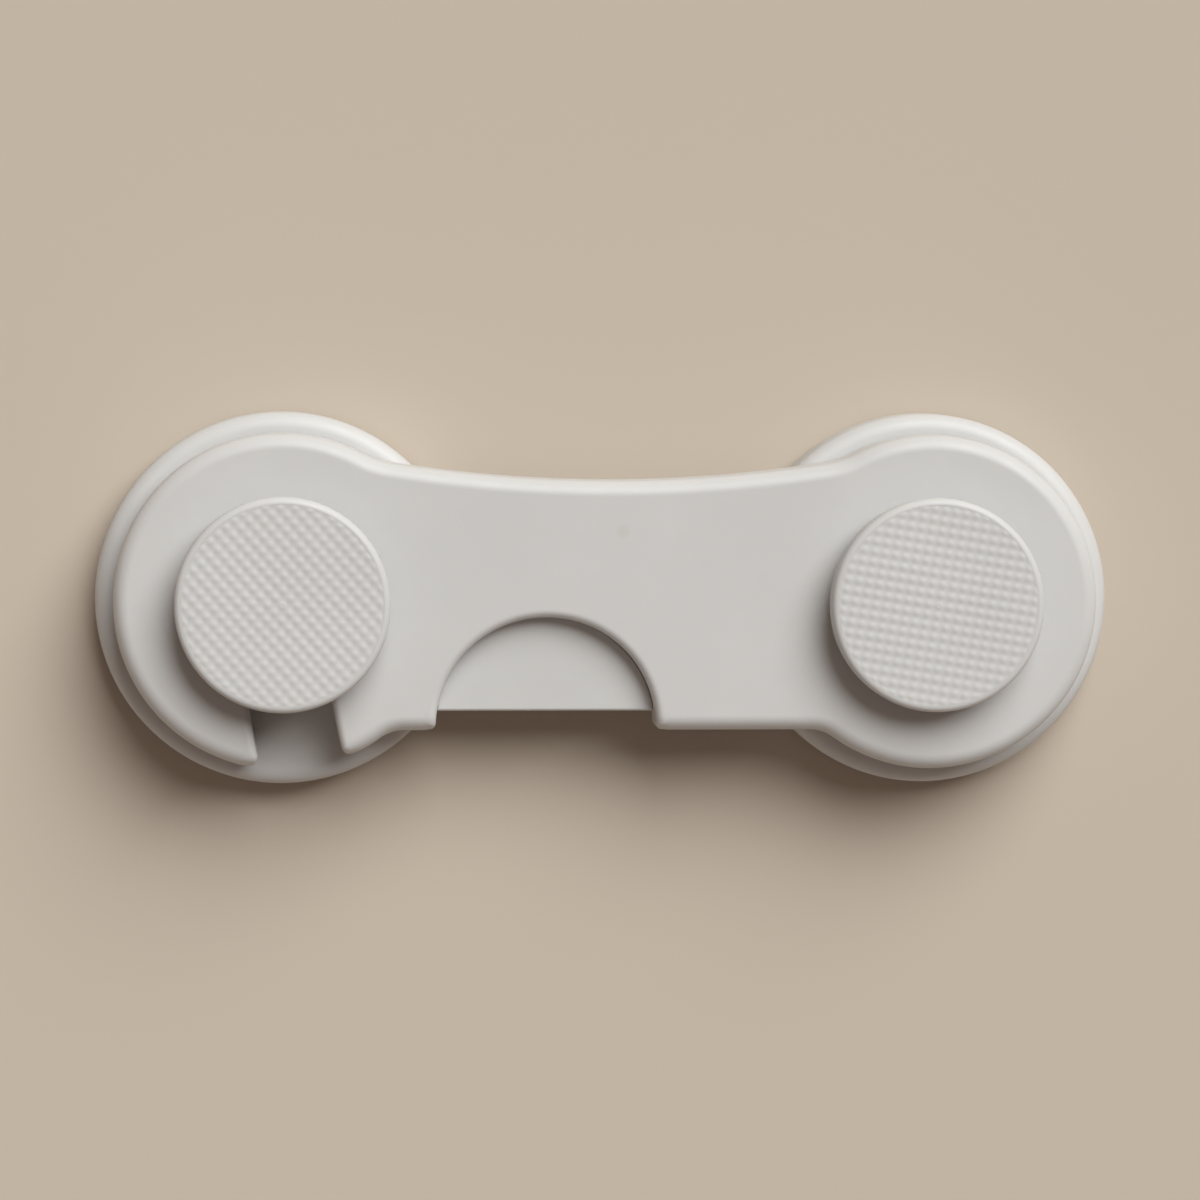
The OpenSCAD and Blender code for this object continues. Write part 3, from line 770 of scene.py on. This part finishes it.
def bar_shell(material):
    """Front shell of the bar, hollow behind, with walls round the slot, notch, pivot and screws."""
    face = eased_face(
        BAR_TOP,
        (looped(plain_outline(fine=FACE_FINENESS)), BAR_EDGE),
        (strung(*slot_rim(0)), SLOT_EDGE),
        (strung(*notch_rim(0)), NOTCH_EDGE),
    )
    piece = eased_solid("bar_shell", front_outline, BAR_Z, face, BAR_FOOT, BAR_EDGE)
    hollow = prism("hollow", plain_outline(BAR_WALL), BAR_Z - CUT, BAR_TOP - BAR_SKIN)
    cut(
        hollow,
        prism("slot_wall", slot_outline(SLOT_R + BAR_WALL), WALL_FOOT, BAR_TOP),
        cylinder("notch_wall", NOTCH, NOTCH_R + BAR_WALL, WALL_FOOT, BAR_TOP),
        cylinder("pivot_wall", PIVOT, NECK_R + RUN_PLAY + BAR_WALL, WALL_FOOT, BAR_TOP),
        *[cylinder("boss", p, BAR_SCREW_R + SCREW_BOSS_WALL, WALL_FOOT, BAR_TOP) for p in SCREWS],
    )
    cut(
        piece,
        hollow,
        prism("wide_slot", slot_outline(WIDE_R), BAR_Z - CUT, WALL_FOOT),
        cylinder("seat", LATCH, WIDE_R + SEAT_STEP, BAR_Z - CUT, WALL_FOOT),
        cylinder("bore", PIVOT, NECK_R + RUN_PLAY, BAR_Z - CUT, BAR_TOP + CUT),
        *[cylinder("pilot", p, BAR_SCREW_R + PILOT_PLAY, BAR_Z - CUT, PLATE_TOP + BAR_SCREW_BITE)
          for p in SCREWS],
    )
    return dress(piece, "bar", "bar_cover", material)


def back_plate(material):
    """Plate in the back of the bar, raised to a floor inside the finger notch."""
    def plate(inset):
        return plain_outline(PLATE_INSET + inset)

    def floor(inset):
        return joined(*floor_rim(inset))

    plate_face = eased_face(PLATE_TOP, (looped(plate(0)), PLATE_EDGE))
    bow, *foot = floor_rim(0)
    floor_face = eased_face(FLOOR_Z, (bow, FLOOR_RIM), (strung(*foot), FLOOR_EDGE))
    piece = eased_solid("bar_plate", plate, BAR_Z, plate_face, PLATE_EDGE, PLATE_EDGE)
    join(piece, eased_solid("floor", floor, BAR_Z + PLATE_EDGE, floor_face, FLOOR_FOOT, FLOOR_EDGE))
    cut(
        piece,
        prism("wide_slot", slot_outline(WIDE_R), BAR_Z - CUT, BAR_TOP),
        cylinder("seat", LATCH, WIDE_R + SEAT_STEP, BAR_Z - CUT, BAR_TOP),
        cylinder("bore", PIVOT, COLLAR_R + RUN_PLAY, BAR_Z - CUT, BAR_TOP),
        *[screw_hole(p) for p in SCREWS],
    )
    return dress(piece, "bar", "bar_back_plate", material)


def screw_hole(centre):
    """Countersunk hole from behind."""
    head = BAR_SCREW_HEAD_R + SEAT_PLAY
    shank = BAR_SCREW_R + SEAT_PLAY
    path = [(0, BAR_Z - CUT), (head, BAR_Z - CUT), (head, BAR_Z), (shank, BAR_Z + head - shank),
            (shank, BAR_TOP), (0, BAR_TOP)]
    return lathe("screw_hole", path, centre, HOLE_STEPS, closed=False)


# Materials

WHITE = (0.662, 0.655, 0.645)
WHITE_SHEEN = (0.42, 0.52)
INNER_WHITE = (0.65, 0.645, 0.635)
INNER_SHEEN = (0.38, 0.5)
PLASTIC = {
    "IOR": 1.5,
    "Subsurface_Weight": 0.12,
    "Subsurface_Radius": (1.0, 0.75, 0.55),
    "Subsurface_Scale": 0.6 * MM,
}
PLASTIC_TINTS = (0.975, 1.02)
MOTTLE = {"scale": 70, "detail": 3}
UNEVEN_SHEEN = {"scale": 420, "detail": 4}
WAVE = {"scale": 110, "detail": 1}
WAVE_BUMP = {"depth": 0.06 * MM, "strength": 0.25}
GRAIN = {"scale": 5200, "detail": 2, "rough": 0.6}
GRAIN_BUMP = {"depth": 0.012 * MM, "strength": 0.35}
FOAM = (0.72, 0.70, 0.64)
FOAM_SHADER = {"Roughness": 0.85, "IOR": 1.4}
FOAM_TINTS = (0.8, 1.05)
CELL_SCALE = 3600
CELL_SPAN = (0.1, 0.6)
CELL_BUMP = {"depth": 0.12 * MM, "strength": 0.6}
STEEL = (0.62, 0.63, 0.65)
STEEL_TINTS = (0.88, 1.08)
SPRING_SHEEN = (0.22, 0.34)
SPRING_STRETCH = (1, 1, 0.2)
SCREW_SHEEN = (0.28, 0.42)
SCREW_STRETCH = (1, 1, 1)
DRAWN_LINES = {"scale": 2600, "detail": 3}
LINE_BUMP = {"depth": 0.01 * MM, "strength": 0.3}


def new_material(name, **values):
    """A material whose shader takes the given constants. Returns it with its node tree and shader."""
    material = bpy.data.materials.new(name)
    material.use_nodes = True
    shader = material.node_tree.nodes["Principled BSDF"]
    for key, value in values.items():
        shader.inputs[key.replace("_", " ")].default_value = value
    return material, material.node_tree, shader


def add(tree, kind, **values):
    made = tree.nodes.new(kind)
    for key, value in values.items():
        made.inputs[key].default_value = value
    return made


def noise(tree, coords, scale, detail=2.0, rough=0.5):
    made = add(tree, "ShaderNodeTexNoise", Scale=scale, Detail=detail, Roughness=rough)
    tree.links.new(coords, made.inputs["Vector"])
    return made.outputs["Fac"]


def ramp(tree, factor, low, high, start=0.3, end=0.7):
    """Colours between low and high as the factor goes from start to end."""
    made = tree.nodes.new("ShaderNodeValToRGB")
    first, last = made.color_ramp.elements
    first.position, first.color = start, (*low, 1)
    last.position, last.color = end, (*high, 1)
    tree.links.new(factor, made.inputs["Fac"])
    return made.outputs["Color"]


def spread(tree, factor, low, high, start=0.3, end=0.7):
    """Values from low to high as the factor goes from start to end."""
    limits = {"From Min": start, "From Max": end, "To Min": low, "To Max": high}
    made = add(tree, "ShaderNodeMapRange", **limits)
    tree.links.new(factor, made.inputs["Value"])
    return made.outputs["Result"]


def bump(tree, height, depth, strength, under=None):
    made = add(tree, "ShaderNodeBump", Strength=strength, Distance=depth)
    tree.links.new(height, made.inputs["Height"])
    if under is not None:
        tree.links.new(under, made.inputs["Normal"])
    return made.outputs["Normal"]


def mottled(tree, factor, colour, tints, start=0.3, end=0.7):
    """A colour that goes from its darker to its lighter tint with the factor."""
    low, high = (tuple(c * tint for c in colour) for tint in tints)
    return ramp(tree, factor, low, high, start, end)


def painted_gate_shade(tree, coords, colour):
    """Painted shade: darkens the colour a little in a round spot where the injection point left a shallow
    dimple on the bar, a dimple the mesh does not have.
    """
    off = tree.nodes.new("ShaderNodeVectorMath")
    off.operation = "DISTANCE"
    off.inputs[1].default_value = (*GATE, BAR_TOP)
    tree.links.new(coords, off.inputs[0])
    share = spread(tree, off.outputs["Value"], 0, 1, GATE_R / 2, GATE_R)
    tint = ramp(tree, share, GATE_SHADE_TINT, (1, 1, 1), 0, 1)
    made = tree.nodes.new("ShaderNodeVectorMath")
    made.operation = "MULTIPLY"
    tree.links.new(colour, made.inputs[0])
    tree.links.new(tint, made.inputs[1])
    return made.outputs["Vector"]


def moulded_plastic(name, colour, sheen, gate_shade=False):
    """Satin moulded plastic: a fine eroded grain, slow waviness and a slightly uneven sheen, and painted
    shade in the gate spot where asked.
    """
    material, tree, shader = new_material(name, **PLASTIC)
    coords = tree.nodes.new("ShaderNodeTexCoord").outputs["Object"]
    tint = mottled(tree, noise(tree, coords, **MOTTLE), colour, PLASTIC_TINTS)
    tree.links.new(painted_gate_shade(tree, coords, tint) if gate_shade else tint, shader.inputs["Base Color"])
    uneven = spread(tree, noise(tree, coords, **UNEVEN_SHEEN), *sheen)
    tree.links.new(uneven, shader.inputs["Roughness"])
    wave = bump(tree, noise(tree, coords, **WAVE), **WAVE_BUMP)
    grain = bump(tree, noise(tree, coords, **GRAIN), **GRAIN_BUMP, under=wave)
    tree.links.new(grain, shader.inputs["Normal"])
    return material


def closed_foam(name, colour):
    """Closed-cell foam: small cells that dent the cut edge and mottle the colour."""
    material, tree, shader = new_material(name, **FOAM_SHADER)
    coords = tree.nodes.new("ShaderNodeTexCoord").outputs["Object"]
    cells = add(tree, "ShaderNodeTexVoronoi", Scale=CELL_SCALE)
    tree.links.new(coords, cells.inputs["Vector"])
    tint = mottled(tree, cells.outputs["Distance"], colour, FOAM_TINTS, *CELL_SPAN)
    tree.links.new(tint, shader.inputs["Base Color"])
    dents = bump(tree, cells.outputs["Distance"], **CELL_BUMP)
    tree.links.new(dents, shader.inputs["Normal"])
    return material


def drawn_steel(name, colour, sheen, stretch):
    """Steel with fine lines, drawn out by the stretch."""
    material, tree, shader = new_material(name, Metallic=1.0)
    coords = tree.nodes.new("ShaderNodeTexCoord").outputs["Object"]
    mapped = add(tree, "ShaderNodeMapping", Scale=stretch)
    tree.links.new(coords, mapped.inputs["Vector"])
    lines = noise(tree, mapped.outputs["Vector"], **DRAWN_LINES)
    tree.links.new(mottled(tree, lines, colour, STEEL_TINTS), shader.inputs["Base Color"])
    tree.links.new(spread(tree, lines, *sheen), shader.inputs["Roughness"])
    tree.links.new(bump(tree, lines, **LINE_BUMP), shader.inputs["Normal"])
    return material


def finish_node(name, material):
    """Gives a CAD node that stays visible its finish."""
    node = frame["nodes"][name]
    node.data.materials.clear()
    node.data.materials.append(material)


# Stage, light and camera

STAGE_HALF = 8
STAGE_DROP = 0.05 * MM
STAGE_COLOUR = (0.60, 0.52, 0.43)
STAGE_ROUGHNESS = 0.9
WORLD_COLOUR = (1.0, 0.72, 0.58)
WORLD_LEVEL = 0.115
KEY_COLOUR = (0.98, 1.0, 0.992)
KEY_AZIMUTH = math.radians(61)
KEY_ELEVATION = math.radians(44)
KEY_SPREAD = math.radians(48)
KEY_LEVEL = 3.36
FILL_COLOUR = (1.0, 0.93, 0.87)
FILL_AZIMUTH = math.radians(240)
FILL_ELEVATION = math.radians(30)
FILL_SPREAD = math.radians(46)
FILL_LEVEL = 0.24
CAMERA_AT = Vector((-35.7, 31.85, 476.7)) * MM
CAMERA_AIM = Vector((-0.944, 0.309, 11.45)) * MM
CAMERA_FIELD = math.radians(14.785)
CAMERA_NEAR = 0.01
CAMERA_FAR = 10


def stage_floor():
    """Plain pale ground, just below the adhesive pads."""
    square = ((-1, -1), (1, -1), (1, 1), (-1, 1))
    corners = [(x * STAGE_HALF, y * STAGE_HALF, -STAGE_DROP) for x, y in square]
    made = mesh_object("floor", corners, [(0, 1, 2, 3)])
    material, _, _ = new_material(
        "pale_floor", Base_Color=(*STAGE_COLOUR, 1), Roughness=STAGE_ROUGHNESS)
    made.data.materials.append(material)


def world():
    made = bpy.data.worlds.new("studio")
    made.use_nodes = True
    background = made.node_tree.nodes["Background"]
    background.inputs["Color"].default_value = (*WORLD_COLOUR, 1)
    background.inputs["Strength"].default_value = WORLD_LEVEL
    bpy.context.scene.world = made


def lamp(name, colour, azimuth, elevation, spread_angle, level):
    """Far soft lamp, which lights the lock and the whole ground evenly."""
    flat = math.cos(elevation)
    way = Vector((math.cos(azimuth) * flat, math.sin(azimuth) * flat, math.sin(elevation)))
    light = bpy.data.lights.new(name, "SUN")
    light.angle = spread_angle
    light.energy = level
    light.color = colour
    made = bpy.data.objects.new(name, light)
    made.location = way
    made.rotation_euler = way.to_track_quat("Z", "Y").to_euler()
    bpy.context.scene.collection.objects.link(made)


def camera():
    """Camera at the photograph's angle, with the lock's +Y upright in the image."""
    data = bpy.data.cameras.new("camera")
    data.sensor_fit = "HORIZONTAL"
    data.angle = CAMERA_FIELD
    data.clip_start = CAMERA_NEAR
    data.clip_end = CAMERA_FAR
    back = (CAMERA_AT - CAMERA_AIM).normalized()
    up = back.cross(Vector((1, 0, 0))).normalized()
    right = up.cross(back)
    made = bpy.data.objects.new("camera", data)
    turned = Matrix((right, up, back)).transposed().to_4x4()
    made.matrix_world = Matrix.Translation(CAMERA_AT) @ turned
    bpy.context.scene.collection.objects.link(made)
    bpy.context.scene.camera = made


# The lock

camera()
world()
lamp("key", KEY_COLOUR, KEY_AZIMUTH, KEY_ELEVATION, KEY_SPREAD, KEY_LEVEL)
lamp("fill", FILL_COLOUR, FILL_AZIMUTH, FILL_ELEVATION, FILL_SPREAD, FILL_LEVEL)
stage_floor()

white_plastic = moulded_plastic("white_plastic", WHITE, WHITE_SHEEN)
# The bar's plastic has painted shade in its gate spot
bar_plastic = moulded_plastic("bar_plastic", WHITE, WHITE_SHEEN, gate_shade=True)
inner_plastic = moulded_plastic("inner_plastic", INNER_WHITE, INNER_SHEEN)
foam = closed_foam("foam_pad", FOAM)
spring_steel = drawn_steel("spring_steel", STEEL, SPRING_SHEEN, SPRING_STRETCH)
screw_steel = drawn_steel("screw_steel", STEEL, SCREW_SHEEN, SCREW_STRETCH)

for end in ENDS:
    foam_pad(end, foam)
    base_shell(end, white_plastic)
    post(end, white_plastic)
    cap(end, white_plastic)
    coil(end, spring_steel)
    finish_node(f"{end}_rear_plate", inner_plastic)
    finish_node(f"{end}_screw", screw_steel)
bar_shell(bar_plastic)
back_plate(inner_plastic)
finish_node("bar_screws", screw_steel)

bpy.context.scene.view_settings.view_transform = "Standard"
